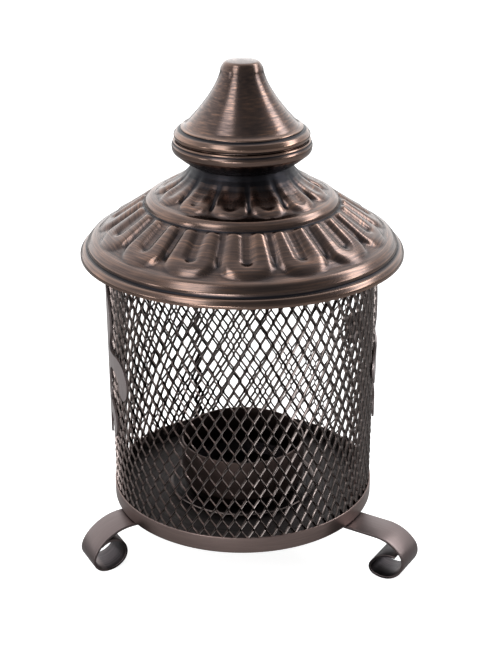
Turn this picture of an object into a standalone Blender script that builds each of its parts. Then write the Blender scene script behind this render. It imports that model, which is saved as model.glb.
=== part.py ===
"""A tabletop chiminea of sheet steel with an antique copper finish.

A shallow pan on three scroll feet holds an expanded-metal screen, and a folded hoop binds the
screen's top edge. A stamped two-tier lid with a hollow finial lifts off the hoop. Inside, a cup
lifts out of a dish that a screw holds to the pan.

Lengths below are in millimetres and angles in degrees. Heights are above the floor, radii are from
the chiminea's own axis, and azimuth 0 points at -Y and 90 at +X. Meshes are built in metres, +Z up.
"""
import math

import bmesh
import bpy

MM = 0.001
GAP = 0.3                 # clearance between neighbouring solids

# Pan: a flat floor with a low upright band
PAN_RADIUS = 80.0
PAN_UNDERSIDE = 28.0
PAN_HEIGHT = 10.3
PAN_SHEET = 1.0
PAN_FLOOR = PAN_UNDERSIDE + PAN_SHEET
PAN_TOP = PAN_UNDERSIDE + PAN_HEIGHT

# Screen: an expanded-metal cylinder that stands in the pan
SCREEN_RADIUS = 78.6
SCREEN_SHEET = 1.0
SCREEN_BOTTOM = PAN_FLOOR + GAP
SCREEN_TOP = 190.5
SCREEN_CELLS = 20         # diamonds round the cylinder
SCREEN_ROWS = 9           # half-pitch rows of diamonds
STRAND_WIDTH = 2.2

# Top hoop: a channel folded over the screen's top edge
HOOP_SHEET = 0.8
HOOP_DEPTH = 7.6
HOOP_TOP = SCREEN_TOP + GAP + HOOP_SHEET
HOOP_OUTER = 80.0
HOOP_INNER = 76.3

# Feet: flat straps under the pan that roll into scrolls outside it
STRAP_THICKNESS = 1.6
STRAP_WIDTH = 20.0
STRAP_START = 18.0
STRAP_CENTRE = PAN_UNDERSIDE - GAP - STRAP_THICKNESS / 2
BEND_STEP = 15.0          # turn between two points of a bend
# name: azimuth, length of the straight run, then (radius, turn) of each bend in proportion
FEET = {
    "foot_left": (-61.8, 80.2, ((30.0, 48.0), (19.5, 22.0), (8.0, 95.0), (13.5, 55.0), (9.6, 185.0))),
    "foot_right": (58.0, 98.2, ((22.0, 48.0), (9.2, 54.0), (13.7, 99.0), (4.5, 95.0), (15.5, 70.0))),
    "foot_back": (178.5, 88.0, ((25.0, 50.0), (13.0, 45.0), (11.0, 95.0), (8.0, 100.0), (9.5, 110.0))),
}

# Foot rivets: two through the pan and each strap
RIVET_PLACES = {"inner": 24.0, "outer": 34.0}
RIVET_SHANK = 1.7
RIVET_HEAD = 3.0
RIVET_HEAD_HEIGHT = 1.1
RIVET_HOLE = 2.1

# Ornaments: cut scrollwork bent round the screen, one on each side
ORNAMENTS = {"ornament_left": -81.0, "ornament_right": 99.5}
ORNAMENT_RADIUS = 79.6
ORNAMENT_SHEET = 1.2
ORNAMENT_STRIP = 6.5      # widest facet round the screen
# right half of the outline from its top tip: distance from the middle along the screen, height
ORNAMENT_HALF = (
    (0.0, 172.0), (7.0, 165.0), (11.5, 154.0), (11.5, 142.0), (8.0, 132.5), (15.0, 131.0),
    (24.0, 131.0), (31.0, 127.5), (35.0, 119.5), (34.3, 111.0), (30.0, 107.0), (25.5, 110.5),
    (23.5, 117.5), (17.0, 121.0), (9.0, 120.0), (5.0, 112.0), (4.8, 100.0), (10.5, 97.0),
    (15.5, 93.5), (18.0, 85.5), (16.0, 77.5), (12.5, 79.0), (11.5, 86.0), (7.0, 89.5),
    (3.5, 83.0),
)
ORNAMENT_FOOT = (0.0, 73.0)

# Dish and its screw, washer and nut
DISH_SHEET = 0.8
DISH_RADIUS = 45.3
DISH_TOP = 33.6
DISH_LEDGE = 31.8
DISH_FLOOR = PAN_FLOOR + GAP + DISH_SHEET
DISH_RECESS = 13.0
DISH_LEDGE_RADIUS = 40.0
SCREW_HOLE = 2.4
SCREW_SHANK = 2.0
SCREW_HEAD = 4.0
SCREW_HEAD_HEIGHT = 1.2
SCREW_END = 21.5
SMALL_WASHER = (2.4, 5.0, 1.0)    # bore radius, outer radius, thickness
SMALL_NUT = (2.4, 4.1, 3.2)       # bore radius, radius over corners, thickness

# Cup
CUP_RADIUS = 38.0
CUP_FOOT_RADIUS = 34.0
CUP_SHEET = 1.0
CUP_BOTTOM = DISH_LEDGE + GAP
CUP_TOP = 64.0
CUP_SHOULDER = 39.0       # top of the tapered foot

# Lid: a stamped roof whose lip hangs round the hoop
LID_SHEET = 1.0
LID_CLEARANCE = 0.8       # between the hoop and the lid's locating skirt
LID_HOLE = 3.6
LID_SEGMENTS = 45         # three to each lower lobe
NECK_TOP = 239.0
# outer face from the hole in the neck's top to the lip's lower edge: radius, height
LID_OUTER = (
    (LID_HOLE, NECK_TOP), (28.2, NECK_TOP), (29.8, 236.2), (31.4, 233.4), (34.4, 230.2),
    (38.8, 227.0), (44.0, 223.7), (48.8, 221.1), (53.0, 219.9), (55.2, 218.4), (56.2, 215.6), (61.0, 212.0),
    (68.0, 207.2), (74.3, 203.0), (82.0, 198.6), (86.0, 197.0), (88.9, 194.6), (90.0, 192.6),
    (89.8, 191.2), (92.2, 189.8), (94.2, 187.6), (94.2, 186.0),
)
# gadroons of each tier: lobes, azimuth of one lobe, inner radius, radius where its end begins to
# round, radius of its tip, height of the relief
UPPER_GADROONS = (13, -8.9, 31.0, 43.0, 50.0, 1.7)
LOWER_GADROONS = (15, 1.9, 56.5, 74.0, 83.5, 2.1)

# Seat ring inside the lid: a web that rests on the hoop and a skirt that drops inside it
SEAT_SHEET = 0.8
SEAT_BOTTOM = HOOP_TOP + GAP
SEAT_OUTER = 87.6
SEAT_SKIRT_OUTER = HOOP_INNER - LID_CLEARANCE
SEAT_SKIRT_DEPTH = 6.0

# Finial: an upper bell and a lower bowl, held to the lid by a rod, a washer and a nut
FINIAL_SHEET = 0.8
FINIAL_TOP = 297.0
FINIAL_SEAM = 252.9
BOWL_BOTTOM = NECK_TOP + GAP
CONE_TOP = (11.9, 292.6)
CONE_FOOT = (32.6, 260.6)
CONE_POWER = 1.5
CONE_POINTS = 5
ROD_RADIUS = 3.0
ROD_BOTTOM = 227.5
LARGE_WASHER = (3.4, 7.5, 1.2)
LARGE_NUT = (3.4, 5.8, 5.0)

COPPER = ("antique_copper", (0.125, 0.072, 0.050), 0.34, 0.9)
BRONZE = ("dark_bronze", (0.060, 0.044, 0.038), 0.42, 0.9)
STRAP_BROWN = ("satin_brown_steel", (0.150, 0.118, 0.108), 0.46, 0.85)
FLOOR_GREY = ("pan_grey", (0.090, 0.084, 0.080), 0.50, 0.8)
ZINC = ("zinc_steel", (0.42, 0.42, 0.43), 0.40, 1.0)


def clear_scene():
    """Remove every object of the starting scene."""
    for item in list(bpy.data.objects):
        bpy.data.objects.remove(item, do_unlink=True)


def make_material(spec):
    """Return the Principled material of a finish, made once."""
    name, colour, roughness, metallic = spec
    found = bpy.data.materials.get(name)
    if found:
        return found
    made = bpy.data.materials.new(name)
    made.use_nodes = True
    shader = made.node_tree.nodes["Principled BSDF"]
    shader.inputs["Base Color"].default_value = (*colour, 1.0)
    shader.inputs["Roughness"].default_value = roughness
    shader.inputs["Metallic"].default_value = metallic
    return made


def make_empty(name, location, parent=None):
    """Return an empty that carries a group of objects; location is in millimetres."""
    empty = bpy.data.objects.new(name, None)
    empty.location = [value * MM for value in location]
    empty.parent = parent
    bpy.context.collection.objects.link(empty)
    return empty


def make_object(name, bm, finish, parent):
    """Turn a bmesh in millimetres into a named object in metres, facing out."""
    bmesh.ops.scale(bm, vec=(MM, MM, MM), verts=bm.verts)
    bmesh.ops.recalc_face_normals(bm, faces=bm.faces)
    mesh = bpy.data.meshes.new(name)
    bm.to_mesh(mesh)
    bm.free()
    mesh.shade_smooth()
    mesh.set_sharp_from_angle(angle=math.radians(35))
    item = bpy.data.objects.new(name, mesh)
    item.parent = parent
    if finish:
        mesh.materials.append(make_material(finish))
    bpy.context.collection.objects.link(item)
    return item


def direction(azimuth):
    """Unit vector (x, y) of an azimuth in degrees."""
    angle = math.radians(azimuth)
    return math.sin(angle), -math.cos(angle)


def turned_bmesh(profile, segments, lift=None, first=0.0):
    """Turn a profile of (radius, height) about Z; it is a closed loop unless both ends are on Z.

    The first column of points is at azimuth first, and lift gives a point's rise.
    """
    bm = bmesh.new()
    on_axis = profile[0][0] == 0 and profile[-1][0] == 0
    columns = []
    poles = {}
    for step in range(segments):
        azimuth = first + 360.0 * step / segments
        dx, dy = direction(azimuth)
        column = []
        for index, (radius, height) in enumerate(profile):
            if radius == 0:
                if index not in poles:
                    poles[index] = bm.verts.new((0, 0, height))
                column.append(poles[index])
                continue
            rise = lift(azimuth, radius) if lift else 0.0
            column.append(bm.verts.new((radius * dx, radius * dy, height + rise)))
        columns.append(column)
    rows = len(profile) - 1 if on_axis else len(profile)
    for step in range(segments):
        here = columns[step]
        there = columns[(step + 1) % segments]
        for row in range(rows):
            below = (row + 1) % len(profile)
            corners = [here[row], there[row], there[below], here[below]]
            bm.faces.new(list(dict.fromkeys(corners)))
    return bm


def turned(name, profile, segments, finish, parent):
    """Make a turned solid."""
    return make_object(name, turned_bmesh(profile, segments), finish, parent)


def offset_path(path, distance):
    """Points of an open path moved to its right-hand side by a distance."""
    moved = []
    for index, (x, y) in enumerate(path):
        before = path[max(index - 1, 0)]
        after = path[min(index + 1, len(path) - 1)]
        first = unit_normal(before, (x, y)) if index else unit_normal((x, y), after)
        second = unit_normal((x, y), after) if index < len(path) - 1 else first
        nx, ny = first[0] + second[0], first[1] + second[1]
        scale = 2 * distance / (nx * nx + ny * ny)
        moved.append((x + nx * scale, y + ny * scale))
    return moved


def unit_normal(start, end):
    """Right-hand unit normal of the stretch from start to end."""
    dx, dy = end[0] - start[0], end[1] - start[1]
    length = math.hypot(dx, dy)
    return dy / length, -dx / length


def sheet_profile(outer, thickness):
    """Closed profile of a sheet whose outer face runs from the middle outward and down."""
    return list(outer) + offset_path(outer, thickness)[::-1]


def shell_profile(outer, thickness):
    """Profile of a sheet whose outer face starts on the axis, with both ends on the axis."""
    inner = offset_path(outer, thickness)
    inner[0] = (0.0, inner[0][1])
    return list(outer) + inner[::-1]


def drill(item, places, radius, low, high):
    """Cut round holes along Z through an object; places are (x, y) in its own frame."""
    bm = bmesh.new()
    for x, y in places:
        ring = bmesh.ops.create_cone(bm, cap_ends=True, segments=16, radius1=radius, radius2=radius,
                                     depth=high - low)
        bmesh.ops.translate(bm, verts=ring["verts"], vec=(x, y, (low + high) / 2))
    cutter = make_object(item.name + "_cutter", bm, None, item.parent)
    cutter.hide_render = True
    cutter.display_type = "WIRE"
    cut = item.modifiers.new("holes", "BOOLEAN")
    cut.operation = "DIFFERENCE"
    cut.object = cutter


def rivet_places():
    """Every foot rivet as (foot, place name, azimuth, distance from the axis)."""
    return [(foot, place, FEET[foot][0], distance)
            for foot in FEET for place, distance in RIVET_PLACES.items()]


def make_pan(parent):
    """The pan, with holes for the foot rivets and the dish's screw."""
    inside = PAN_RADIUS - PAN_SHEET
    profile = [(0, PAN_UNDERSIDE), (PAN_RADIUS - 1.0, PAN_UNDERSIDE), (PAN_RADIUS, PAN_UNDERSIDE + 1.0),
               (PAN_RADIUS, PAN_TOP - 0.3), (PAN_RADIUS - 0.3, PAN_TOP), (inside, PAN_TOP),
               (inside, PAN_FLOOR), (0, PAN_FLOOR)]
    pan = turned("base_pan", profile, 48, FLOOR_GREY, parent)
    places = []
    for _, _, azimuth, distance in rivet_places():
        dx, dy = direction(azimuth)
        places.append((distance * dx, distance * dy))
    places.append((0.0, 0.0))
    drill(pan, places, SCREW_HOLE, PAN_UNDERSIDE - 2, PAN_FLOOR + 2)


def bend_points(run, bends, grow):
    """Centre line of a foot's strap as (distance from the axis, height, heading) after its run."""
    distance, height, heading = run, STRAP_CENTRE, 0.0
    points = []
    for radius, turn in bends:
        radius *= grow
        centre = (distance - radius * math.sin(math.radians(heading)),
                  height - radius * math.cos(math.radians(heading)))
        end = heading + turn
        stop = math.floor(heading / BEND_STEP + 0.5) * BEND_STEP + BEND_STEP / 2
        while stop <= heading:
            stop += BEND_STEP
        while stop < end:
            angle = math.radians(stop)
            points.append((centre[0] + radius * math.sin(angle), centre[1] + radius * math.cos(angle), stop))
            stop += BEND_STEP
        heading = end
        distance = centre[0] + radius * math.sin(math.radians(end))
        height = centre[1] + radius * math.cos(math.radians(end))
    points.append((distance, height, heading))
    return points


def strap_faces(run, bends, grow):
    """Outer and inner face points of a foot's strap, from its inner end to the end of its scroll."""
    line = [(STRAP_START, STRAP_CENTRE, 0.0), (run, STRAP_CENTRE, 0.0)] + bend_points(run, bends, grow)
    half = STRAP_THICKNESS / 2
    outer, inner = [], []
    for distance, height, heading in line:
        across = (math.sin(math.radians(heading)), math.cos(math.radians(heading)))
        outer.append((distance + half * across[0], height + half * across[1]))
        inner.append((distance - half * across[0], height - half * across[1]))
    return outer, inner


def foot_scale(run, bends):
    """Factor on the bend radii that puts the scroll's lowest face on the floor."""
    low, high = 0.5, 1.5
    for _ in range(40):
        middle = (low + high) / 2
        lowest = min(height for _, height in strap_faces(run, bends, middle)[0])
        if lowest > 0:
            low = middle
        else:
            high = middle
    return (low + high) / 2


def foot_outline(name):
    """Azimuth, outer points and inner points of one foot."""
    azimuth, run, bends = FEET[name]
    outer, inner = strap_faces(run, bends, foot_scale(run, bends))
    return azimuth, outer, inner


def make_foot(name, parent):
    """One scroll foot, with two rivet holes."""
    azimuth, outer, inner = foot_outline(name)
    dx, dy = direction(azimuth)
    bm = bmesh.new()
    sections = []
    for top, bottom in zip(outer, inner):
        section = []
        for (distance, height), side in ((top, -1), (top, 1), (bottom, 1), (bottom, -1)):
            across = side * STRAP_WIDTH / 2
            section.append(bm.verts.new((distance * dx - across * dy, distance * dy + across * dx, height)))
        sections.append(section)
    for here, there in zip(sections, sections[1:]):
        for corner in range(4):
            after = (corner + 1) % 4
            bm.faces.new((here[corner], here[after], there[after], there[corner]))
    bm.faces.new(sections[0])
    bm.faces.new(sections[-1])
    foot = make_object(name, bm, STRAP_BROWN, parent)
    places = [(distance * dx, distance * dy) for distance in RIVET_PLACES.values()]
    drill(foot, places, RIVET_HOLE, STRAP_CENTRE - 3, STRAP_CENTRE + 3)


def make_rivets(parent):
    """The foot rivets: a domed head on the pan's floor and a closed tail under each strap."""
    seat = PAN_FLOOR + GAP
    tail = STRAP_CENTRE - STRAP_THICKNESS / 2 - GAP
    profile = [(0, seat + RIVET_HEAD_HEIGHT), (RIVET_HEAD * 0.7, seat + RIVET_HEAD_HEIGHT * 0.7),
               (RIVET_HEAD, seat), (RIVET_SHANK, seat), (RIVET_SHANK, tail), (RIVET_HEAD, tail),
               (RIVET_HEAD * 0.7, tail - RIVET_HEAD_HEIGHT * 0.7), (0, tail - RIVET_HEAD_HEIGHT)]
    for foot, place, azimuth, distance in rivet_places():
        dx, dy = direction(azimuth)
        bm = turned_bmesh(profile, 8)
        bmesh.ops.translate(bm, verts=bm.verts, vec=(distance * dx, distance * dy, 0))
        make_object(foot + "_rivet_" + place, bm, STRAP_BROWN, parent)


def screen_point(column, height, radius):
    """Point of the screen at a column counted in whole cells."""
    dx, dy = direction(360.0 * column / SCREEN_CELLS)
    return radius * dx, radius * dy, height


def make_screen(parent):
    """The expanded-metal screen: staggered rows of diamond openings in one sheet."""
    row_height = (SCREEN_TOP - SCREEN_BOTTOM) / (SCREEN_ROWS + 1)
    cell_width = 2 * math.pi * SCREEN_RADIUS / SCREEN_CELLS
    slant = math.hypot(cell_width / 2, row_height)
    half_width = 0.5 - STRAND_WIDTH * slant / (2 * row_height) / cell_width
    half_height = row_height - STRAND_WIDTH * slant / cell_width
    bm = bmesh.new()
    radii = (SCREEN_RADIUS, SCREEN_RADIUS - SCREEN_SHEET)
    points = {}

    def point(key, column, height):
        if key not in points:
            points[key] = [bm.verts.new(screen_point(column, height, radius)) for radius in radii]
        return points[key]

    def corner(side, row, place):
        """A corner of the opening in a row, at a place counted in half cells."""
        place %= 2 * SCREEN_CELLS
        shift = {"left": (-half_width, 0), "right": (half_width, 0), "top": (0, half_height),
                 "bottom": (0, -half_height)}[side]
        height = SCREEN_BOTTOM + row_height * (row + 1) + shift[1]
        return point((side, row, place), place / 2 + shift[0], height)

    def edge(end, place):
        """A point of the screen's lower or upper edge."""
        place %= 2 * SCREEN_CELLS
        return point((end, place), place / 2, SCREEN_BOTTOM if end == "low" else SCREEN_TOP)

    def patch(*corners):
        """One piece of the sheet, on its outer and inner face."""
        for layer in (0, 1):
            bm.faces.new([each[layer] for each in corners])

    def wall(first, second):
        """A cut edge of the sheet."""
        bm.faces.new((first[0], second[0], second[1], first[1]))

    for row in range(SCREEN_ROWS):
        for place in range(row % 2, 2 * SCREEN_CELLS, 2):
            left, right = corner("left", row, place), corner("right", row, place)
            top, bottom = corner("top", row, place), corner("bottom", row, place)
            for first, second in ((left, top), (top, right), (right, bottom), (bottom, left)):
                wall(first, second)
            beyond = corner("left", row, place + 2)
            if row == 0:
                patch(bottom, right, edge("low", place + 1), edge("low", place))
                patch(beyond, corner("bottom", row, place + 2), edge("low", place + 2), edge("low", place + 1))
                under = edge("low", place + 1)
            else:
                under = corner("top", row - 1, place + 1)
            if row == SCREEN_ROWS - 1:
                patch(right, top, edge("high", place), edge("high", place + 1))
                patch(corner("top", row, place + 2), beyond, edge("high", place + 1), edge("high", place + 2))
                over = edge("high", place + 1)
            else:
                over = corner("bottom", row + 1, place + 1)
                patch(right, top, corner("left", row + 1, place + 1), over)
                patch(corner("top", row, place + 2), beyond, over, corner("right", row + 1, place + 1))
            patch(right, under, beyond, over)
    for place in range(2 * SCREEN_CELLS):
        wall(edge("low", place), edge("low", place + 1))
        wall(edge("high", place), edge("high", place + 1))
    make_object("mesh_screen", bm, BRONZE, parent)


def make_hoop(parent):
    """The channel over the screen's top edge."""
    low = HOOP_TOP - HOOP_DEPTH
    web = HOOP_TOP - HOOP_SHEET
    profile = [(HOOP_INNER, low), (HOOP_INNER, HOOP_TOP), (HOOP_OUTER, HOOP_TOP), (HOOP_OUTER, low),
               (HOOP_OUTER - HOOP_SHEET, low), (HOOP_OUTER - HOOP_SHEET, web),
               (HOOP_INNER + HOOP_SHEET, web), (HOOP_INNER + HOOP_SHEET, low)]
    turned("top_hoop", profile, 40, COPPER, parent)


def smooth_closed(points, pieces):
    """Points of a smooth closed curve through the given points, with pieces between each two."""
    count = len(points)
    result = []
    for index in range(count):
        p0, p1, p2, p3 = (points[(index + step) % count] for step in (-1, 0, 1, 2))
        for piece in range(pieces):
            t = piece / pieces
            result.append(tuple(
                0.5 * (2 * b + (c - a) * t + (2 * a - 5 * b + 4 * c - d) * t * t
                       + (3 * b - a - 3 * c + d) * t ** 3)
                for a, b, c, d in zip(p0, p1, p2, p3)))
    return result


def make_ornament(name, azimuth, parent):
    """One piece of scrollwork, cut flat and bent round the screen."""
    left = [(-x, z) for x, z in ORNAMENT_HALF[:0:-1]]
    outline = smooth_closed(list(ORNAMENT_HALF) + [ORNAMENT_FOOT] + left, 2)
    bm = bmesh.new()
    bm.faces.new([bm.verts.new((x, 0, z)) for x, z in outline])
    reach = max(x for x, _ in outline)
    strips = int(reach / ORNAMENT_STRIP)
    for strip in range(-strips, strips + 1):
        everything = bm.verts[:] + bm.edges[:] + bm.faces[:]
        bmesh.ops.bisect_plane(bm, geom=everything, dist=1e-6, plane_co=(strip * ORNAMENT_STRIP, 0, 0),
                               plane_no=(1, 0, 0))
    grown = bmesh.ops.extrude_face_region(bm, geom=bm.faces[:])
    for element in grown["geom"]:
        if isinstance(element, bmesh.types.BMVert):
            element.co.y = ORNAMENT_SHEET
    for vert in bm.verts:
        radius = ORNAMENT_RADIUS + vert.co.y
        dx, dy = direction(azimuth + math.degrees(vert.co.x / ORNAMENT_RADIUS))
        vert.co.x, vert.co.y = radius * dx, radius * dy
    make_object(name, bm, COPPER, parent)


def make_dish(parent):
    """The dish under the cup, with a recess for its screw."""
    ledge = DISH_LEDGE
    outer = [(SCREW_HOLE, DISH_FLOOR), (DISH_RECESS, DISH_FLOOR), (DISH_RECESS + 2, ledge),
             (DISH_LEDGE_RADIUS, ledge), (DISH_RADIUS - 2, ledge + 0.6), (DISH_RADIUS, DISH_TOP)]
    turned("cup_dish", sheet_profile(outer, DISH_SHEET), 32, COPPER, parent)


def make_ring(name, bore, radius, low, high, finish, parent):
    """A flat washer."""
    turned(name, [(bore, high), (radius, high), (radius, low), (bore, low)], 16, finish, parent)


def make_nut(name, size, high, parent):
    """A hexagon nut whose top face is at a height."""
    bore, corner_radius, thickness = size
    low = high - thickness
    nut = turned(name, [(0, high), (corner_radius, high), (corner_radius, low), (0, low)], 6, ZINC, parent)
    drill(nut, [(0.0, 0.0)], bore, low - 1, high + 1)


def make_dish_fasteners(parent):
    """The screw, washer and nut that hold the dish to the pan."""
    seat = DISH_FLOOR + GAP
    head = seat + SCREW_HEAD_HEIGHT
    turned("dish_screw", [(0, head), (SCREW_HEAD * 0.8, head), (SCREW_HEAD, seat + SCREW_HEAD_HEIGHT / 2),
                          (SCREW_HEAD, seat), (SCREW_SHANK, seat), (SCREW_SHANK, SCREW_END), (0, SCREW_END)],
           16, ZINC, parent)
    bore, radius, thickness = SMALL_WASHER
    top = PAN_UNDERSIDE - GAP
    make_ring("dish_washer", bore, radius, top - thickness, top, ZINC, parent)
    make_nut("dish_nut", SMALL_NUT, top - thickness - GAP, parent)


def make_cup(parent):
    """The lift-out cup: a straight wall over a tapered foot."""
    outer = [(0, CUP_BOTTOM), (CUP_FOOT_RADIUS, CUP_BOTTOM), (CUP_RADIUS, CUP_SHOULDER), (CUP_RADIUS, CUP_TOP)]
    inner = [(CUP_RADIUS - CUP_SHEET, CUP_TOP), (CUP_RADIUS - CUP_SHEET, CUP_SHOULDER + 0.3),
             (CUP_FOOT_RADIUS - 0.6, CUP_BOTTOM + CUP_SHEET), (0, CUP_BOTTOM + CUP_SHEET)]
    turned("candle_cup", outer + inner, 32, COPPER, parent)


def gadroon_lift(azimuth, radius, tier):
    """Rise of the roof where a tier's lobes are, falling to grooves between them."""
    lobes, middle, start, rounding, tip, height = tier
    if not start < radius < tip:
        return 0.0
    turn = ((azimuth - middle) * lobes / 360.0 + 0.5) % 1.0 - 0.5
    past = max(0.0, (radius - rounding) / (tip - rounding))
    half_width = 0.5 * math.sqrt(1.0 - past * past)
    across = abs(turn) / half_width
    if across >= 1.0:
        return 0.0
    slot = 0.55 * math.exp(-(turn / 0.1) ** 2) * (1.0 - past)
    return height * (math.sqrt(1.0 - across ** 4) - slot)


def roof_lift(azimuth, radius):
    """Rise of the lid's stamped relief."""
    return gadroon_lift(azimuth, radius, UPPER_GADROONS) + gadroon_lift(azimuth, radius, LOWER_GADROONS)


def make_lid(parent):
    """The stamped roof and the ring that seats it on the hoop."""
    lobes, middle = LOWER_GADROONS[:2]
    groove = middle + 180.0 / lobes
    roof = turned_bmesh(sheet_profile(LID_OUTER, LID_SHEET), LID_SEGMENTS, roof_lift, groove)
    make_object("lid_roof", roof, COPPER, parent)
    skirt_inner = SEAT_SKIRT_OUTER - SEAT_SHEET
    web = SEAT_BOTTOM + SEAT_SHEET
    profile = [(skirt_inner, web), (SEAT_OUTER, web), (SEAT_OUTER, SEAT_BOTTOM),
               (SEAT_SKIRT_OUTER, SEAT_BOTTOM), (SEAT_SKIRT_OUTER, web - SEAT_SKIRT_DEPTH),
               (skirt_inner, web - SEAT_SKIRT_DEPTH)]
    turned("lid_seat_ring", profile, 36, BRONZE, parent)


def cone_profile():
    """The finial's hollow-sided cone from its cap to its groove."""
    points = []
    for step in range(CONE_POINTS + 1):
        share = step / CONE_POINTS
        radius = CONE_TOP[0] + (CONE_FOOT[0] - CONE_TOP[0]) * share ** CONE_POWER
        points.append((radius, CONE_TOP[1] + (CONE_FOOT[1] - CONE_TOP[1]) * share))
    return points


def make_finial(parent):
    """The finial's two shells and the rod, washer and nut that hold it to the lid."""
    cap = [(0, FINIAL_TOP), (5.5, FINIAL_TOP - 0.4), (8.8, FINIAL_TOP - 1.4), (10.9, FINIAL_TOP - 2.9)]
    bead = [(33.9, 259.2), (36.5, 257.4), (38.0, 255.6), (37.2, 254.6), (37.2, FINIAL_SEAM)]
    turned("finial_bell", shell_profile(cap + cone_profile() + bead, FINIAL_SHEET), 28, COPPER, parent)
    seam = FINIAL_SEAM - GAP
    bowl = [(36.2, seam), (39.2, seam), (40.1, 250.2), (39.8, 247.2), (38.2, 245.1), (34.6, 242.2),
            (31.0, BOWL_BOTTOM + 0.4), (29.0, BOWL_BOTTOM), (LARGE_WASHER[0], BOWL_BOTTOM)]
    turned("finial_bowl", sheet_profile(bowl, FINIAL_SHEET), 28, COPPER, parent)
    rod_top = FINIAL_TOP - FINIAL_SHEET - 2 * GAP
    turned("finial_rod", [(0, rod_top), (ROD_RADIUS, rod_top), (ROD_RADIUS, ROD_BOTTOM), (0, ROD_BOTTOM)],
           16, ZINC, parent)
    bore, radius, thickness = LARGE_WASHER
    top = NECK_TOP - LID_SHEET - GAP
    make_ring("lid_washer", bore, radius, top - thickness, top, ZINC, parent)
    make_nut("lid_nut", LARGE_NUT, top - thickness - GAP, parent)


def axis_place():
    """Place of the chiminea's axis that centres the whole footprint on the origin."""
    xs, ys = [], [-LID_OUTER[-1][0], LID_OUTER[-1][0]]
    for name in FEET:
        azimuth, outer, _ = foot_outline(name)
        dx, dy = direction(azimuth)
        reach = max(distance for distance, _ in outer)
        for side in (-1, 1):
            across = side * STRAP_WIDTH / 2
            xs.append(reach * dx - across * dy)
            ys.append(reach * dy + across * dx)
    return -(min(xs) + max(xs)) / 2, -(min(ys) + max(ys)) / 2, 0.0


def build():
    """Make the whole chiminea."""
    clear_scene()
    axis = make_empty("chiminea_axis", axis_place())
    lid = make_empty("lid_lift_axis", (0, 0, 0), axis)
    cup = make_empty("cup_lift_axis", (0, 0, 0), axis)
    make_pan(axis)
    for name in FEET:
        make_foot(name, axis)
    make_rivets(axis)
    make_screen(axis)
    make_hoop(axis)
    for name, azimuth in ORNAMENTS.items():
        make_ornament(name, azimuth, axis)
    make_dish(axis)
    make_dish_fasteners(axis)
    make_cup(cup)
    make_lid(lid)
    make_finial(lid)


build()
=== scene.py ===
"""Looks for the tabletop chiminea: fine sheet-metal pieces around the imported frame.

Piece shapes are in millimetres from the chiminea's own axis, heights are above the floor, and
azimuth 0 points at -Y and 90 at +X. mesh_piece turns them into metres at the axis's place.
"""

import math
from collections import namedtuple

import bmesh
import bpy
import numpy as np
from mathutils import Matrix, Vector


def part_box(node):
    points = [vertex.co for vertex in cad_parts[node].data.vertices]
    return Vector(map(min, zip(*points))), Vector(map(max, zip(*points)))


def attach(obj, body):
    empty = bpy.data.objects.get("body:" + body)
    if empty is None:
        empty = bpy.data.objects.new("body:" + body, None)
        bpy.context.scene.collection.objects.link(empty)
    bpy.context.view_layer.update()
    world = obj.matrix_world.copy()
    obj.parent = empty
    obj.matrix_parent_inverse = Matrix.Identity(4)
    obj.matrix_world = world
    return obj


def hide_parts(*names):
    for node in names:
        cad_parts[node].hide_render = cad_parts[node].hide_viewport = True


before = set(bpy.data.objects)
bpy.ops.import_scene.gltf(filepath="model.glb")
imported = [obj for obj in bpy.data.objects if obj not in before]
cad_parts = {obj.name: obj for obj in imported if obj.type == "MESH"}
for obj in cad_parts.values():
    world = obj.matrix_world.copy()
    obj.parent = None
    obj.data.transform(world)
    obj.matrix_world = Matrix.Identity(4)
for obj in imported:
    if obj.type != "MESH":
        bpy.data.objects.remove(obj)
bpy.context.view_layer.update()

MM = 0.001
PAN_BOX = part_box("base_pan")
AXIS = Vector(((PAN_BOX[0].x + PAN_BOX[1].x) / 2, (PAN_BOX[0].y + PAN_BOX[1].y) / 2, 0.0))

# camera: a close view from in front and above, in millimetres
CAMERA_DISTANCE = 726.8
CAMERA_HEIGHT = 445.4
CAMERA_TARGET = (4.5, 0.0, 133.0)
CAMERA_LENS = 71.25

# pan and screen
PAN_RADIUS = 80.0
PAN_UNDERSIDE = 28.0
PAN_TOP = 38.3
PAN_FLOOR = 29.0
PAN_INSIDE = 79.0
SCREEN_RADIUS = 78.7
SCREEN_BOTTOM = 29.3
SCREEN_TOP = 190.5
CELLS_ROUND = 68
CELL_FIRST = -0.9         # azimuth of one opening of the even rows
ROW_COUNT = 23            # half-pitch rows of openings
ROW_HEIGHT = 6.75
ROW_FIRST = 36.2          # height of the lowest row's middle
STRAND_WIDTHS = (0.85, 1.5)   # outside and inside, as the cut edges slope
STRAND_THICKNESS = 0.9
BOND_LENGTH = 1.5         # height of the joint between two strands
BOND_TILT = -0.62         # how far a joint's edges stand out of the cylinder, one out and one in
TIP_SHARE = 0.35          # how much of half a joint's height an opening's tip gives up
SCREEN_CREASE = 25
SCREEN_BRUSH = (0.2, 0.2, 0.6)
FACE, CUT = 0, 1          # numbers of the screen's materials
# the seam, where the two ends of the sheet overlap: a doubled strand that zigzags up the back
SEAM_AZIMUTH = -157.0
SEAM_RADIUS = 77.7
SEAM_SHEET = 0.8
SEAM_WIDTH = 2.6
SEAM_SWAY = 1.9           # half of its sway along the screen
SEAM_BOTTOM = 33.0

# degrees of a rounded corner per step of its profile
ROOF_ARC = 10
PAN_ARC = 15
RING_ARC = 20
STRAP_ARC = 30


def direction(azimuth):
    """Unit vector (x, y) of an azimuth in degrees, or arrays of them."""
    angle = np.radians(azimuth)
    return np.sin(angle), -np.cos(angle)


# ---------------------------------------------------------------- profiles

SIDE_SHARE = 0.49         # how much of a path's side the rounding of one corner may take
LEAST_MITRE = 0.5         # keeps an offset's sharp corners from running away


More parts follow.
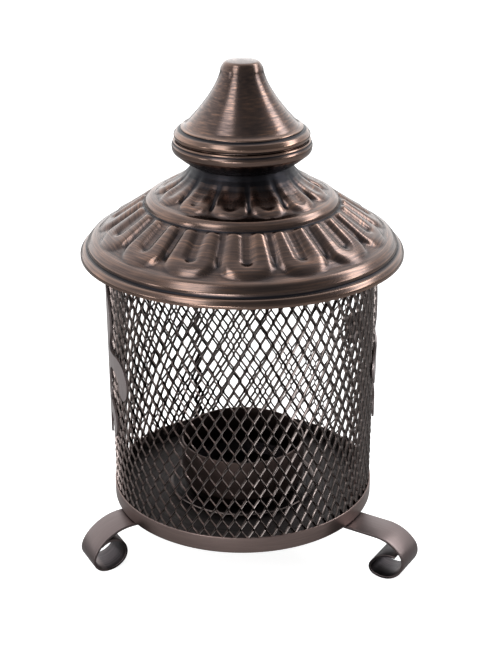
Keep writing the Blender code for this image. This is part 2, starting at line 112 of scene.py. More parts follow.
def fillet(corners, step, closed=False):
    """Points of a path whose corners (x, y, radius) are rounded, with step degrees to a point."""
    count = len(corners)
    points = []
    for index, (x, y, radius) in enumerate(corners):
        here = Vector((x, y))
        inside = closed or 0 < index < count - 1
        if not radius or not inside:
            points.append(here)
            continue
        before = Vector(corners[index - 1][:2])
        after = Vector(corners[(index + 1) % count][:2])
        back = (before - here).normalized()
        ahead = (after - here).normalized()
        half = back.angle(ahead) / 2
        reach = radius / math.tan(half)
        reach = min(reach, SIDE_SHARE * (before - here).length, SIDE_SHARE * (after - here).length)
        radius = reach * math.tan(half)
        middle = here + (back + ahead).normalized() * (radius / math.sin(half))
        start = here + back * reach - middle
        end = here + ahead * reach - middle
        turn = math.pi - 2 * half
        side = 1 if start.x * end.y > start.y * end.x else -1
        pieces = max(2, math.ceil(math.degrees(turn) / step))
        for piece in range(pieces + 1):
            angle = side * turn * piece / pieces
            c, s = math.cos(angle), math.sin(angle)
            points.append(middle + Vector((c * start.x - s * start.y, s * start.x + c * start.y)))
    return np.array([tuple(p) for p in points])


def refine(path, step):
    """A path with points added so that no stretch is longer than step."""
    result = [path[0]]
    for start, end in zip(path, path[1:]):
        pieces = max(1, math.ceil(np.linalg.norm(end - start) / step))
        for piece in range(1, pieces + 1):
            result.append(start + (end - start) * piece / pieces)
    return np.array(result)


def offset(path, distance):
    """An open path moved to its right-hand side."""
    run = np.diff(path, axis=0)
    run /= np.linalg.norm(run, axis=1)[:, None]
    normal = np.stack([run[:, 1], -run[:, 0]], axis=1)
    total = np.zeros_like(path)
    total[:-1] += normal
    total[1:] += normal
    total[0] = 2 * normal[0]
    total[-1] = 2 * normal[-1]
    scale = 2 * distance / np.maximum((total ** 2).sum(axis=1), LEAST_MITRE)
    return path + total * scale[:, None]


def sheet(path, thickness):
    """Closed profile of a sheet whose outer face is path."""
    return np.vstack([path, offset(path, thickness)[::-1]])


# ---------------------------------------------------------------- meshes

SHORTEST_EDGE = 0.05      # shorter edges count as this long in the curvature
MOST_BEND = 1.0
SMOOTHING_ROUNDS = 2
WELD_DISTANCE = 2e-6
CREASE = 32               # faces that meet at more degrees than this stay sharp
TURNED_BRUSH = 3          # reach of the brushing coordinates round a turned piece


def surface_curvature(mesh):
    """Convexity at each vertex in 1/mm, positive on ridges and negative in creases."""
    count = len(mesh.vertices)
    points = np.zeros(count * 3)
    mesh.vertices.foreach_get("co", points)
    points = points.reshape(-1, 3) / MM
    normals = np.zeros(count * 3)
    mesh.vertices.foreach_get("normal", normals)
    normals = normals.reshape(-1, 3)
    edges = np.zeros(len(mesh.edges) * 2, int)
    mesh.edges.foreach_get("vertices", edges)
    first, second = edges.reshape(-1, 2).T
    run = points[second] - points[first]
    length = np.maximum(np.linalg.norm(run, axis=1), SHORTEST_EDGE)
    bend = np.zeros(count)
    number = np.zeros(count)
    np.add.at(bend, first, -2 * (normals[first] * run).sum(axis=1) / length ** 2)
    np.add.at(bend, second, 2 * (normals[second] * run).sum(axis=1) / length ** 2)
    np.add.at(number, first, 1)
    np.add.at(number, second, 1)
    bend /= np.maximum(number, 1)
    bend = np.clip(bend, -MOST_BEND, MOST_BEND)
    for _ in range(SMOOTHING_ROUNDS):
        total = bend.copy()
        np.add.at(total, first, bend[second])
        np.add.at(total, second, bend[first])
        bend = total / (number + 1)
    return bend


def mesh_piece(name, points, faces, materials, body, replaced, brush, face_slots=None,
               crease=CREASE, grime_and_shade=None):
    """Make a piece from points in millimetres and ride it on a body in place of CAD nodes.

    brush holds each point's brushing coordinates, and the darkening function gives how much darker the
    places of points are painted, for grime and for painted shade.
    """
    mesh = bpy.data.meshes.new(name)
    mesh.from_pydata((np.asarray(points) * MM).tolist(), [], [list(face) for face in faces])
    for material in materials:
        mesh.materials.append(material)
    if face_slots is not None:
        mesh.polygons.foreach_set("material_index", face_slots)
    layer = mesh.attributes.new("brush", "FLOAT_VECTOR", "POINT")
    layer.data.foreach_set("vector", np.asarray(brush, np.float32).ravel())
    bm = bmesh.new()
    bm.from_mesh(mesh)
    bmesh.ops.remove_doubles(bm, verts=bm.verts, dist=WELD_DISTANCE)
    bmesh.ops.recalc_face_normals(bm, faces=bm.faces)
    bm.to_mesh(mesh)
    bm.free()
    mesh.shade_smooth()
    mesh.set_sharp_from_angle(angle=math.radians(crease))
    edge = surface_curvature(mesh)
    if grime_and_shade is not None:
        place = np.zeros(len(mesh.vertices) * 3)
        mesh.vertices.foreach_get("co", place)
        # the darkening is taken off the bend, so that the material paints it as grime and painted shade
        edge = edge - grime_and_shade(place.reshape(-1, 3) / MM)
    layer = mesh.attributes.new("edge", "FLOAT", "POINT")
    layer.data.foreach_set("value", edge.astype(np.float32))
    piece = bpy.data.objects.new(name, mesh)
    piece.location = AXIS
    bpy.context.scene.collection.objects.link(piece)
    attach(piece, body)
    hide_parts(*replaced)
    return piece


def turned_parts(profile, segments, lift=None, closed=True):
    """Points, faces and brush coordinates of a profile (radius, height) turned about the axis."""
    azimuth = np.arange(segments) * 360.0 / segments
    dx, dy = direction(azimuth)
    radius = profile[:, 0]
    height = np.repeat(profile[None, :, 1], segments, axis=0)
    reach = np.repeat(radius[None, :], segments, axis=0)
    if lift is not None:
        out, up = lift(azimuth[:, None], radius[None, :])
        reach, height = reach + out, height + up
    points = np.stack([dx[:, None] * reach, dy[:, None] * reach, height], axis=2)
    count = len(profile)
    run = np.concatenate([[0], np.cumsum(np.linalg.norm(np.diff(profile, axis=0), axis=1))])
    grain = np.stack([np.repeat(dx[:, None] * TURNED_BRUSH, count, axis=1),
                      np.repeat(dy[:, None] * TURNED_BRUSH, count, axis=1),
                      np.repeat(run[None, :], segments, axis=0)], axis=2)
    rows = np.arange(count if closed else count - 1)
    columns = np.arange(segments)
    here = columns[:, None] * count + rows
    below = columns[:, None] * count + (rows + 1) % count
    there = (columns[:, None] + 1) % segments * count + rows
    far = (columns[:, None] + 1) % segments * count + (rows + 1) % count
    faces = np.stack([here, there, far, below], axis=2).reshape(-1, 4)
    return points.reshape(-1, 3), faces, grain.reshape(-1, 3)


def turned_piece(name, profile, segments, materials, body, replaced, lift=None, closed=True,
                 slots=None, grime_and_shade=None):
    """Make a turned piece; slots gives the material of each stretch of the profile."""
    points, faces, grain = turned_parts(profile, segments, lift, closed)
    face_slots = None if slots is None else np.tile(slots, segments)
    mesh_piece(name, points, faces, materials, body, replaced, grain, face_slots, grime_and_shade=grime_and_shade)


# ---------------------------------------------------------------- materials

# colour of the dark patina and painted shade in creases and recesses
BLACK = (0.015, 0.016, 0.020)
SHADE_PLACES = (0.20, 0.5, 0.85)      # where the shades of a satin metal sit in its brush lines
# brush lines: how fast they change across and along the brushing, and their detail
WIDE_LINES = (0.9, 1.0, 3.0)
FINE_LINES = (3.2, 2.0, 4.0)
GRAIN_ROUGHNESS = 0.6
PATCHES = {"Scale": 45.0, "Detail": 3.0, "Roughness": 0.55}
NOISE_SPAN = (0.25, 0.75)             # the part of a noise that counts
WIDE_SHARE = 0.5
FINE_SHARE = 0.25
PATCH_SHARE = 0.25
EDGE_START = 0.03                     # bend from which a ridge takes wear and painted highlight, and a crease dark patina and painted shade
EDGE_FULL = 0.30
DARKENED_ROUGHNESS = 0.22                # how much rougher the darkened places are
BUMP_DISTANCE = 0.00012


def node(tree, kind, **values):
    """Add a shader node; values named after inputs set them, others set its properties."""
    made = tree.nodes.new(kind)
    for key, value in values.items():
        if hasattr(made, key):
            setattr(made, key, value)
        else:
            made.inputs[key.replace("_", " ")].default_value = value
    return made


def ramp(tree, source, stops):
    """Colour ramp over a value; stops are (position, colour)."""
    made = tree.nodes.new("ShaderNodeValToRGB")
    elements = made.color_ramp.elements
    while len(elements) < len(stops):
        elements.new(0.5)
    for element, (place, colour) in zip(elements, stops):
        element.position = place
        element.color = (*colour, 1.0)
    tree.links.new(source, made.inputs["Fac"])
    return made.outputs["Color"]


def span(tree, source, low, high, start=0.0, end=1.0, shape="LINEAR"):
    """Map a value from low..high to start..end, held at both ends."""
    made = node(tree, "ShaderNodeMapRange", interpolation_type=shape)
    tree.links.new(source, made.inputs["Value"])
    for key, value in (("From Min", low), ("From Max", high), ("To Min", start), ("To Max", end)):
        made.inputs[key].default_value = value
    return made.outputs["Result"]


def blend(tree, factor, first, second, share=1.0):
    """Mix two colours, or a colour socket and a plain colour, by a factor socket."""
    made = tree.nodes.new("ShaderNodeMix")
    made.data_type = "RGBA"
    scaled = node(tree, "ShaderNodeMath", operation="MULTIPLY")
    tree.links.new(factor, scaled.inputs[0])
    scaled.inputs[1].default_value = share
    tree.links.new(scaled.outputs[0], made.inputs["Factor"])
    for socket, value in ((made.inputs["A"], first), (made.inputs["B"], second)):
        if isinstance(value, tuple):
            socket.default_value = (*value, 1.0)
        else:
            tree.links.new(value, socket)
    return made.outputs["Result"]


def grain_noise(tree, across, along, detail):
    """Noise drawn out along the brushing, with how fast it changes across and along it."""
    source = node(tree, "ShaderNodeAttribute", attribute_name="brush")
    shaped = node(tree, "ShaderNodeVectorMath", operation="MULTIPLY")
    tree.links.new(source.outputs["Vector"], shaped.inputs[0])
    shaped.inputs[1].default_value = (along, along, across)
    noise = node(tree, "ShaderNodeTexNoise", Scale=1.0, Detail=detail, Roughness=GRAIN_ROUGHNESS)
    tree.links.new(shaped.outputs["Vector"], noise.inputs["Vector"])
    return noise.outputs["Fac"]


def metal(name, stops, roughness, spread, patina_and_shade_share, ridge_wear_and_highlight, bump=0.3):
    """Brushed, antiqued metal.

    stops colour the brush lines from dark to bright, and roughness falls from roughness + spread on the dark
    lines to roughness on the bright ones. A share paints creases black, as dark patina and painted shade,
    and a colour with its share paints ridges, as wear and painted highlight.
    """
    made = bpy.data.materials.new(name)
    made.use_nodes = True
    tree = made.node_tree
    shader = tree.nodes["Principled BSDF"]
    shader.inputs["Metallic"].default_value = 1.0
    wide = grain_noise(tree, *WIDE_LINES)
    fine = grain_noise(tree, *FINE_LINES)
    place = node(tree, "ShaderNodeTexCoord")
    patch = node(tree, "ShaderNodeTexNoise", **PATCHES)
    tree.links.new(place.outputs["Object"], patch.inputs["Vector"])
    total = node(tree, "ShaderNodeMath", operation="ADD")
    tree.links.new(span(tree, wide, *NOISE_SPAN, 0.0, WIDE_SHARE), total.inputs[0])
    tree.links.new(span(tree, fine, *NOISE_SPAN, 0.0, FINE_SHARE), total.inputs[1])
    mixed = node(tree, "ShaderNodeMath", operation="ADD")
    tree.links.new(total.outputs[0], mixed.inputs[0])
    tree.links.new(span(tree, patch.outputs["Fac"], *NOISE_SPAN, 0.0, PATCH_SHARE), mixed.inputs[1])
    colour = ramp(tree, mixed.outputs[0], stops)
    edge = node(tree, "ShaderNodeAttribute", attribute_name="edge").outputs["Fac"]
    # ridges are painted with wear and a painted highlight
    colour = blend(tree, span(tree, edge, EDGE_START, EDGE_FULL), colour, *ridge_wear_and_highlight)
    # creases, and places a piece marks darker, get dark patina and painted shade and a rougher finish
    dark_patina_and_shade = span(tree, edge, -EDGE_START, -EDGE_FULL)
    colour = blend(tree, dark_patina_and_shade, colour, BLACK, patina_and_shade_share)
    tree.links.new(colour, shader.inputs["Base Color"])
    dull = node(tree, "ShaderNodeMath", operation="MULTIPLY_ADD")
    tree.links.new(dark_patina_and_shade, dull.inputs[0])
    dull.inputs[1].default_value = DARKENED_ROUGHNESS
    tree.links.new(span(tree, mixed.outputs[0], *NOISE_SPAN, roughness + spread, roughness), dull.inputs[2])
    tree.links.new(dull.outputs[0], shader.inputs["Roughness"])
    lift = node(tree, "ShaderNodeBump", Strength=bump, Distance=BUMP_DISTANCE)
    tree.links.new(total.outputs[0], lift.inputs["Height"])
    tree.links.new(lift.outputs["Normal"], shader.inputs["Normal"])
    return made


def shades(dark, middle, bright):
    """Colour stops of a satin metal's brush lines."""
    return list(zip(SHADE_PLACES, (dark, middle, bright)))


COPPER = metal("antique_copper", [(0.15, (0.042, 0.033, 0.032)), (0.45, (0.088, 0.065, 0.059)),
                                  (0.62, (0.138, 0.093, 0.077)), (0.88, (0.29, 0.168, 0.118))],
               0.17, 0.09, 0.95, ((0.26, 0.170, 0.130), 0.5), bump=0.18)
BAND = metal("satin_copper_band",
             shades((0.060, 0.047, 0.045), (0.115, 0.086, 0.080), (0.19, 0.14, 0.125)),
             0.30, 0.10, 0.8, ((0.32, 0.24, 0.22), 0.5))
STRAP = metal("satin_brown_strap",
              shades((0.026, 0.022, 0.024), (0.042, 0.036, 0.039), (0.075, 0.060, 0.062)),
              0.32, 0.10, 0.95, ((0.20, 0.16, 0.155), 0.6))
PLATE = metal("satin_plate",
              shades((0.20, 0.180, 0.184), (0.29, 0.262, 0.266), (0.40, 0.36, 0.36)),
              0.30, 0.10, 0.6, ((0.36, 0.30, 0.29), 0.5))
FLOOR = metal("pan_floor_grey",
              shades((0.105, 0.091, 0.085), (0.18, 0.154, 0.144), (0.27, 0.23, 0.213)),
              0.45, 0.12, 0.8, ((0.15, 0.12, 0.11), 0.3), bump=0.15)
BRONZE = metal("dark_bronze",
               shades((0.015, 0.013, 0.013), (0.030, 0.026, 0.026), (0.055, 0.047, 0.045)),
               0.34, 0.10, 0.5, ((0.10, 0.08, 0.075), 0.3), bump=0.15)
SCREEN = metal("screen_bronze",
               shades((0.045, 0.040, 0.039), (0.082, 0.072, 0.070), (0.15, 0.132, 0.128)),
               0.15, 0.07, 0.3, ((0.20, 0.17, 0.16), 0.3), bump=0.1)
# the cup's copper is painted near black, as painted shade inside the screen
CUP_PAINTED_SHADE = metal("cup_copper_painted_shade",
              shades((0.006, 0.005, 0.005), (0.018, 0.013, 0.012), (0.06, 0.038, 0.032)),
              0.34, 0.12, 0.6, ((0.14, 0.10, 0.09), 0.6), bump=0.2)
# the dish's pale ridge colour paints the highlight on its rim
DISH = metal("dish_copper",
             shades((0.008, 0.006, 0.006), (0.024, 0.018, 0.017), (0.07, 0.050, 0.045)),
             0.34, 0.12, 0.6, ((0.24, 0.20, 0.19), 0.6), bump=0.2)
CUT_EDGE = metal("cut_edge_copper",
                 shades((0.04, 0.034, 0.032), (0.17, 0.145, 0.14), (0.55, 0.48, 0.47)),
                 0.25, 0.10, 0.2, ((0.45, 0.36, 0.33), 0.3), bump=0.15)
ZINC = metal("dull_zinc",
             shades((0.34, 0.34, 0.35), (0.42, 0.42, 0.43), (0.50, 0.50, 0.51)),
             0.34, 0.12, 0.6, ((0.55, 0.55, 0.56), 0.4))


# ---------------------------------------------------------------- lid

LID_SHEET = 1.0
LID_SEGMENTS = 420
LOBE_STEP = 0.95          # profile step over the lid's relief, three times as long on the inside
# outer face from the neck's top to the lip's lower edge: radius, height, corner radius
LID_CORNERS = (
    (3.6, 239.0, 0), (28.4, 239.0, 0.8), (30.0, 235.4, 3.0), (33.6, 230.9, 8.0), (38.5, 227.2, 20.0),
    (44.0, 223.7, 30.0), (48.8, 221.1, 12.0), (53.2, 220.1, 2.0), (55.6, 218.2, 2.6), (56.4, 215.3, 1.6),
    (61.0, 212.0, 30.0), (74.3, 203.0, 40.0), (82.0, 198.4, 6.0), (86.8, 197.0, 5.0), (90.0, 193.3, 2.0),
    (90.2, 190.8, 0.8), (92.4, 190.2, 1.6), (94.2, 188.0, 2.2), (94.2, 186.0, 0),
)

# one ring of lobes: how many and the azimuth of one; the radii of its inner end, of where its
# outer end begins, of its tip and of its slot's end; its height, the groove between two lobes and
# half its slot's width; the length over which it rises, and its slot's floor as a share of its height
Tier = namedtuple("Tier", "lobes middle start end tip slot_end height groove slot_half onset slot_floor")
UPPER_TIER = Tier(lobes=13, middle=-8.9, start=28.4, end=42.0, tip=50.3, slot_end=43.0,
                  height=1.7, groove=1.6, slot_half=0.9, onset=15.0, slot_floor=0.55)
LOWER_TIER = Tier(lobes=15, middle=1.9, start=56.6, end=73.5, tip=84.0, slot_end=72.0,
                  height=2.3, groove=2.8, slot_half=1.6, onset=2.4, slot_floor=0.12)
LOBE_POWER = 2.3          # how square a lobe's end is
LOBE_SIDE = 4.6           # width of a tube's rounding along the lobe's outline, and its power
TUBE_POWER = 0.85
SLOT_SIDE = 4.8           # the same round the slot
SLOT_POWER = 1.4
LEAST_SLOPE = 0.3         # keeps the distance from a lobe's outline finite in its middle
TINY = 1e-6
NECK_SPREAD = (30.0, 37.0, 0.8)   # radii between which lobes stop rising outward, and how far they do
# the dents between two lobes' ends: depth, half width, shift outward and length over width
PIT_DEPTH = 1.0
PIT_WIDTH = 1.1
PIT_SHIFT = 0.5
PIT_STRETCH = 2.6
# darkening of the lid, where it lies, then its strength: grime and painted shade at the neck, painted shade
# under the finial's bowl and in the groove over the lip, patina and painted shade between the lobes
NECK_GRIME_AND_SHADE = (31.0, 41.0, 0.22)    # radii between which it fades
COLLAR_PAINTED_SHADE = (32.0, 0.6)         # radius inside which it is full, painted shade under the finial's bowl
GROOVE_PAINTED_SHADE = (191.8, 1.9, 0.06)  # height over the lip, and reach
LOBE_PATINA_AND_SHADE = (1.6, 0.08)           # how fast it thins out as a lobe rises


def eased(share, power):
    """Rounded step: 0 at and below 0 and 1 from 1 on; a low power makes its foot steep."""
    return (1.0 - (1.0 - np.clip(share, 0.0, 1.0)) ** 2) ** power


def tier_lift(azimuth, radius, tier):
    """Rise of one tier of lobes, each a tube bent into a U round a slot."""
    lobes, middle, start, end, tip, slot_end, height, groove, slot_half, onset, slot_floor = tier
    turn = ((azimuth - middle) * lobes / 360.0 + 0.5) % 1.0 - 0.5
    pitch = 2 * math.pi * radius / lobes
    across = np.abs(turn) * pitch
    half = (pitch - groove) / 2
    u = np.clip(across / half, TINY, None)
    p = np.clip((radius - end) / (tip - end), 0.0, None) + TINY
    reach = (u ** LOBE_POWER + p ** LOBE_POWER) ** (1 / LOBE_POWER)
    gradient = np.hypot(u ** (LOBE_POWER - 1) / half, p ** (LOBE_POWER - 1) / (tip - end))
    slope = reach ** (1 - LOBE_POWER) * gradient
    inside = np.clip((1 - reach) / np.maximum(slope, LEAST_SLOPE / half), 0.0, None)
    beside = np.hypot(across, np.maximum(radius - slot_end, 0.0)) - slot_half
    slot = slot_floor + (1 - slot_floor) * eased(beside / SLOT_SIDE, SLOT_POWER)
    tube = eased(inside / LOBE_SIDE, TUBE_POWER) * slot
    rise = height * tube * np.clip((radius - start) / onset, 0.0, 1.0)
    pit = np.hypot((pitch / 2 - across) / PIT_WIDTH, (radius - end - PIT_SHIFT) / (PIT_STRETCH * PIT_WIDTH))
    return np.where(radius > start, rise - PIT_DEPTH * np.exp(-pit ** 2), 0.0)


def roof_lift(azimuth, radius):
    """Outward and upward shift of the lid's relief, both tiers."""
    rise = tier_lift(azimuth, radius, UPPER_TIER) + tier_lift(azimuth, radius, LOWER_TIER)
    low, high, share = NECK_SPREAD
    return rise * share * np.clip((high - radius) / (high - low), 0.0, 1.0), rise


def lid_grime_and_shade(points):
    """Darkening of the lid: grime and painted shade round its neck under the finial, patina and painted
    shade between its lobes, and painted shade in the groove over its lip.
    """
    radius = np.hypot(points[:, 0], points[:, 1])
    azimuth = np.degrees(np.arctan2(points[:, 0], -points[:, 1]))
    low, high, strength = NECK_GRIME_AND_SHADE
    neck = strength * np.clip((high - radius) / (high - low), 0.0, 1.0)
    edge, strength = COLLAR_PAINTED_SHADE
    collar = strength * np.clip(edge - radius, 0.0, 1.0)
    middle, reach, strength = GROOVE_PAINTED_SHADE
    groove = strength * np.exp(-((points[:, 2] - middle) / reach) ** 2)
    thinning, strength = LOBE_PATINA_AND_SHADE
    between = 0.0
    for tier in (UPPER_TIER, LOWER_TIER):
        inside = (radius > tier.start) & (radius < tier.tip)
        low_part = 1.0 - thinning * tier_lift(azimuth, radius, tier) / tier.height
        between = between + inside * np.clip(low_part, 0.0, 1.0)
    return neck + collar + groove + strength * between


def make_lid():
    """The stamped roof."""
    path = fillet(LID_CORNERS, ROOF_ARC)
    outer = np.vstack([path[:1], refine(path[1:], LOBE_STEP)])
    inner_path = offset(path, LID_SHEET)
    inner = np.vstack([inner_path[:1], refine(inner_path[1:], 3 * LOBE_STEP)])[::-1]
    turned_piece("lid_roof_stamped", np.vstack([outer, inner]), LID_SEGMENTS, [COPPER], "lid",
                 ["lid_roof"], roof_lift, grime_and_shade=lid_grime_and_shade)


# ---------------------------------------------------------------- finial

FINIAL_SHEET = 0.8
FINIAL_SEGMENTS = 180
CONE_TOP = (11.9, 292.6)
CONE_FOOT = (32.6, 260.6)
CONE_POWER = 1.5
CONE_POINTS = 24
# profiles over and under the bell's cone and of the bowl: radius, height, corner radius
CAP_CORNERS = [(0.0, 297.0, 0), (9.8, 296.3, 3.0)]
BEAD_CORNERS = [
    (34.9, 259.9, 0.9), (34.7, 258.9, 0.4), (37.2, 257.9, 1.6), (38.8, 255.9, 1.3), (38.5, 254.1, 0.5),
    (37.0, 253.6, 0.3), (37.0, 252.9, 0),
]
BOWL_CORNERS = (
    (36.2, 252.6, 0), (38.9, 252.6, 0.3), (39.3, 252.0, 0.3), (39.1, 251.4, 0.4), (40.1, 249.8, 2.0),
    (39.8, 246.4, 3.0), (34.6, 242.2, 8.0), (31.0, 239.7, 1.0), (29.0, 239.3, 0.5), (3.4, 239.3, 0),
)
# painted shade in the finial's seam, in the crease over its bead, under its bowl and on its cap's top:
# height, reach, strength
FINIAL_PAINTED_SHADE = ((253.3, 0.7, 0.22), (259.0, 0.8, 0.22), (239.5, 3.2, 0.30), (297.2, 0.8, 0.18))


def finial_painted_shade(points):
    """Painted shade on and round the finial: in its seam, in the crease over its bead, under its bowl, and
    on its cap's top to dull its reflection.
    """
    return sum(strength * np.exp(-((points[:, 2] - middle) / reach) ** 2)
               for middle, reach, strength in FINIAL_PAINTED_SHADE)


def make_finial():
    """The finial's bell and bowl."""
    cone = [(CONE_TOP[0] + (CONE_FOOT[0] - CONE_TOP[0]) * share ** CONE_POWER,
             CONE_TOP[1] + (CONE_FOOT[1] - CONE_TOP[1]) * share, 0)
            for share in np.linspace(0, 1, CONE_POINTS)]
    path = fillet(CAP_CORNERS + cone + BEAD_CORNERS, ROOF_ARC)
    inner = offset(path, FINIAL_SHEET)
    inner[0][0] = 0.0
    turned_piece("finial_bell_shell", np.vstack([path, inner[::-1]]), FINIAL_SEGMENTS, [COPPER], "lid",
                 ["finial_bell"], closed=False, grime_and_shade=finial_painted_shade)
    bowl = sheet(fillet(BOWL_CORNERS, ROOF_ARC), FINIAL_SHEET)
    turned_piece("finial_bowl_shell", bowl, FINIAL_SEGMENTS, [COPPER], "lid", ["finial_bowl"],
                 grime_and_shade=finial_painted_shade)


# ---------------------------------------------------------------- pan, hoop, ring

# profiles: radius, height, corner radius
PAN_CORNERS = (
    (0, PAN_UNDERSIDE, 0), (PAN_RADIUS, PAN_UNDERSIDE, 1.2), (PAN_RADIUS, PAN_TOP, 0.35),
    (PAN_INSIDE, PAN_TOP, 0.3), (PAN_INSIDE, PAN_FLOOR, 0.8), (0, PAN_FLOOR, 0),
)
HOOP_CORNERS = (
    (76.3, 184.0, 0.2), (76.3, 191.6, 0.9), (80.0, 191.6, 0.9), (80.0, 184.0, 0.2),
    (79.2, 184.0, 0.2), (79.2, 190.8, 0.2), (77.1, 190.8, 0.2), (77.1, 184.0, 0.2),
)
SEAT_CORNERS = (
    (74.7, 192.7, 0.6), (87.6, 192.7, 0.2), (87.6, 191.9, 0.2), (75.5, 191.9, 0.3),
    (75.5, 186.7, 0.2), (74.7, 186.7, 0.2),
)
PAN_SEGMENTS = 220
RING_SEGMENTS = 180
# where the pan's floor finish starts: this far outside its inner wall, or below its rim
FINISH_MARGIN = 0.05
FINISH_DEPTH = 0.4


def make_pan():
    """The pan: a satin band outside and a dull floor inside."""
    profile = fillet(PAN_CORNERS, PAN_ARC)
    heights = (profile[1:, 1] + profile[:-1, 1]) / 2
    radii = (profile[1:, 0] + profile[:-1, 0]) / 2
    after_top = np.arange(len(heights)) > np.argmax(profile[:, 1])
    inner = after_top & ((radii < PAN_INSIDE + FINISH_MARGIN) | (heights < PAN_TOP - FINISH_DEPTH))
    turned_piece("base_pan_pressed", profile, PAN_SEGMENTS, [BAND, FLOOR], "base", ["base_pan"],
                 closed=False, slots=inner.astype(int))


def make_hoop():
    """The channel folded over the screen's top edge."""
    profile = fillet(HOOP_CORNERS, RING_ARC, closed=True)
    turned_piece("top_hoop_folded", profile, RING_SEGMENTS, [COPPER], "base", ["top_hoop"])


def make_seat():
    """The ring inside the lid that sits on the hoop."""
    profile = fillet(SEAT_CORNERS, RING_ARC, closed=True)
    turned_piece("lid_seat_ring_pressed", profile, RING_SEGMENTS, [BRONZE], "lid", ["lid_seat_ring"])


# ---------------------------------------------------------------- screen

def seam_strip(first):
    """Points and faces of the seam, numbered from first."""
    heights = np.arange(SEAM_BOTTOM, SCREEN_TOP - ROW_HEIGHT, ROW_HEIGHT)
    points, faces = [], []
    for row, height in enumerate(heights):
        middle = SEAM_SWAY if row % 2 else -SEAM_SWAY
        for side, depth in ((-1, 0), (1, 0), (1, 1), (-1, 1)):
            dx, dy = direction(SEAM_AZIMUTH + math.degrees((middle + side * SEAM_WIDTH / 2) / SEAM_RADIUS))
            radius = SEAM_RADIUS - depth * SEAM_SHEET
            points.append((radius * dx, radius * dy, height))
        start = first + 4 * row
        if row:
            faces += [[start - 4 + k, start - 4 + (k + 1) % 4, start + (k + 1) % 4, start + k]
                      for k in range(4)]
    faces += [[first + k for k in range(4)], [start + k for k in range(4)]]
    return points, faces


def opening_shifts():
    """Where an opening's corners are on the outer and inner face: turn, rise and lean."""
    pitch = 2 * math.pi * SCREEN_RADIUS / CELLS_ROUND
    slant = math.hypot(pitch / 2, ROW_HEIGHT)
    side_half = BOND_LENGTH / 2
    shifts = {}
    for layer, width in enumerate(STRAND_WIDTHS):
        half_width = 0.5 - width * slant / (2 * ROW_HEIGHT) / pitch
        top_half = ROW_HEIGHT - width * slant / pitch - side_half * TIP_SHARE
        shifts["left_low", layer] = (-half_width, -side_half, -BOND_TILT)
        shifts["left_high", layer] = (-half_width, side_half, -BOND_TILT)
        shifts["right_low", layer] = (half_width, -side_half, BOND_TILT)
        shifts["right_high", layer] = (half_width, side_half, BOND_TILT)
        shifts["top", layer] = (0, top_half, 0)
        shifts["bottom", layer] = (0, -top_half, 0)
    return shifts


SCREEN_RADII = (SCREEN_RADIUS, SCREEN_RADIUS - STRAND_THICKNESS)


class ScreenSheet:
    """Points and faces of the expanded metal; each of its corners is an outer and an inner point.

    An opening's place is twice its column, so that odd rows sit between the columns.
    """

    def __init__(self):
        self.points, self.faces, self.slots = [], [], []
        self.index = {}
        self.shifts = opening_shifts()

    def pair(self, key, places):
        """Numbers of a corner's two points, made on first use from (column, height, lean) of each."""
        if key not in self.index:
            self.index[key] = []
            for radius, (column, height, lean) in zip(SCREEN_RADII, places):
                dx, dy = direction(CELL_FIRST + 360.0 * column / CELLS_ROUND)
                self.index[key].append(len(self.points))
                self.points.append(((radius + lean) * dx, (radius + lean) * dy, height))
        return self.index[key]

    def corner(self, side, row, place):
        """A corner of an opening."""
        place %= 2 * CELLS_ROUND
        height = ROW_FIRST + ROW_HEIGHT * row
        both = [self.shifts[side, layer] for layer in (0, 1)]
        places = [(place / 2 + turn, height + rise, lean) for turn, rise, lean in both]
        return self.pair((side, row, place), places)

    def border(self, end, place):
        """A corner on the sheet's low or high border."""
        place %= 2 * CELLS_ROUND
        return self.pair((end, place), [(place / 2, SCREEN_BOTTOM if end == "low" else SCREEN_TOP, 0)] * 2)

    def patch(self, *corners):
        """A strand's outer and inner face."""
        for layer in (0, 1):
            self.faces.append([each[layer] for each in corners])
            self.slots.append(FACE)

    def wall(self, first, second):
        """A cut face through the sheet."""
        self.faces.append([first[0], second[0], second[1], first[1]])
        self.slots.append(CUT)

    def opening(self, row, place):
        """An opening's walls, and the metal between it and the next one to the right."""
        ring = [self.corner(side, row, place) for side in
                ("left_low", "left_high", "top", "right_high", "right_low", "bottom")]
        for first, second in zip(ring, ring[1:] + ring[:1]):
            self.wall(first, second)
        _, _, top, right_high, right_low, bottom = ring
        beyond_low = self.corner("left_low", row, place + 2)
        beyond_high = self.corner("left_high", row, place + 2)
        if row == 0:
            under = self.border("low", place + 1)
            self.patch(bottom, right_low, under, self.border("low", place))
            self.patch(beyond_low, self.corner("bottom", row, place + 2), self.border("low", place + 2),
                       under)
        else:
            under = self.corner("top", row - 1, place + 1)
        if row == ROW_COUNT - 1:
            over = self.border("high", place + 1)
            self.patch(right_high, top, self.border("high", place), over)
            self.patch(self.corner("top", row, place + 2), beyond_high, over, self.border("high", place + 2))
        else:
            over = self.corner("bottom", row + 1, place + 1)
            self.patch(right_high, top, self.corner("left_low", row + 1, place + 1), over)
            self.patch(self.corner("top", row, place + 2), beyond_high, over,
                       self.corner("right_low", row + 1, place + 1))
        self.patch(right_low, under, beyond_low)
        self.patch(right_low, beyond_low, beyond_high, right_high)
        self.patch(right_high, beyond_high, over)


